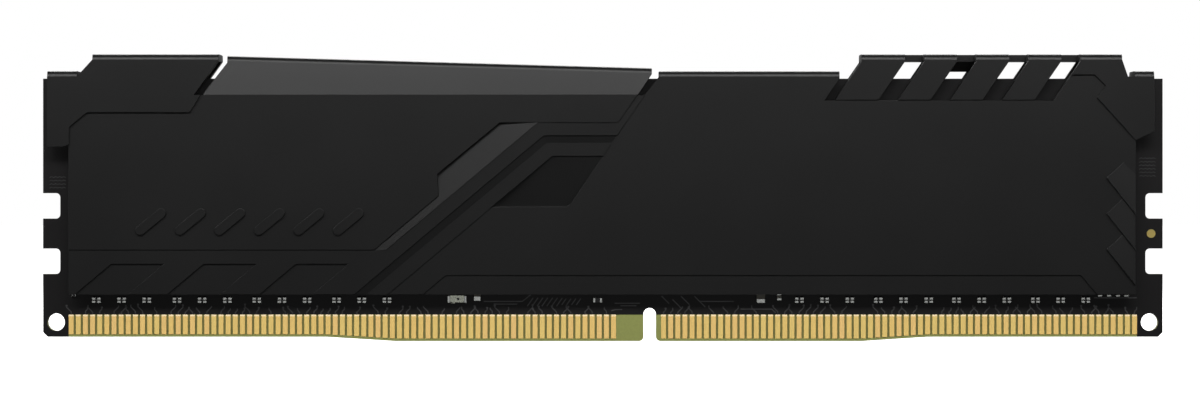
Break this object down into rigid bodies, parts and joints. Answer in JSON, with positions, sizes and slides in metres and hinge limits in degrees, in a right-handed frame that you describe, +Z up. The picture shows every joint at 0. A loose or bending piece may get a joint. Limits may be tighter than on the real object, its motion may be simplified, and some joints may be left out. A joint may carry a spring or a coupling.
{
  "type": "ram module",
  "caption": "Long memory module: a printed board with gold edge contacts inside a black pressed-metal heat spreader with slanted ribs, slots, grooves and facets.",
  "frame": {"origin": "middle of the board's length and thickness, at the height of its contact edge", "axes": "+X along the module with the key notch just right of the middle, +Y from the front face with the small components towards the rear half of the heat spreader, +Z up from the contact edge"},
  "size_m": [0.1334, 0.0072, 0.0341],
  "materials": {
    "solder_mask": "black solder mask over glass-fibre laminate, satin",
    "contact_gold": "gold plating, satin",
    "chip_epoxy": "moulded epoxy, matt",
    "resistor_ceramic": "ceramic body with a dark glaze and tinned terminals",
    "capacitor_ceramic": "ceramic body with tinned terminals",
    "spreader_black": "pressed aluminium, matt black anodised",
    "thermal_pad": "soft silicone sheet, matt"
  },
  "bodies": {
    "root": {"bulk_capacitor": "capacitor_ceramic", "contacts_front_left": "contact_gold", "contacts_front_right": "contact_gold", "contacts_rear_left": "contact_gold", "contacts_rear_right": "contact_gold", "decoupling_capacitor_1": "capacitor_ceramic", "decoupling_capacitor_2": "capacitor_ceramic", "decoupling_capacitor_3": "capacitor_ceramic", "decoupling_capacitor_4": "capacitor_ceramic", "dram_1": "chip_epoxy", "dram_2": "chip_epoxy", "dram_3": "chip_epoxy", "dram_4": "chip_epoxy", "dram_5": "chip_epoxy", "dram_6": "chip_epoxy", "dram_7": "chip_epoxy", "dram_8": "chip_epoxy", "fiducial_mark": "contact_gold", "filter_capacitor_left": "capacitor_ceramic", "filter_capacitor_right": "capacitor_ceramic", "heat_spreader_front": "spreader_black", "heat_spreader_rear": "spreader_black", "input_capacitor": "capacitor_ceramic", "pcb": "solder_mask", "pull_up_resistor": "resistor_ceramic", "resistor_array_01": "resistor_ceramic", "resistor_array_02": "resistor_ceramic", "resistor_array_03": "resistor_ceramic", "resistor_array_04": "resistor_ceramic", "resistor_array_05": "resistor_ceramic", "resistor_array_06": "resistor_ceramic", "resistor_array_07": "resistor_ceramic", "resistor_array_08": "resistor_ceramic", "resistor_array_09": "resistor_ceramic", "resistor_array_10": "resistor_ceramic", "resistor_array_11": "resistor_ceramic", "resistor_array_12": "resistor_ceramic", "resistor_array_13": "resistor_ceramic", "resistor_array_14": "resistor_ceramic", "resistor_array_15": "resistor_ceramic", "resistor_array_16": "resistor_ceramic", "resistor_array_17": "resistor_ceramic", "resistor_array_18": "resistor_ceramic", "resistor_array_19": "resistor_ceramic", "resistor_array_20": "resistor_ceramic", "resistor_array_21": "resistor_ceramic", "resistor_array_22": "resistor_ceramic", "resistor_array_23": "resistor_ceramic", "resistor_array_24": "resistor_ceramic", "spd_chip": "chip_epoxy", "test_link": "resistor_ceramic", "thermal_pad_front": "thermal_pad", "thermal_pad_rear": "thermal_pad"}
  },
  "joints": []
}
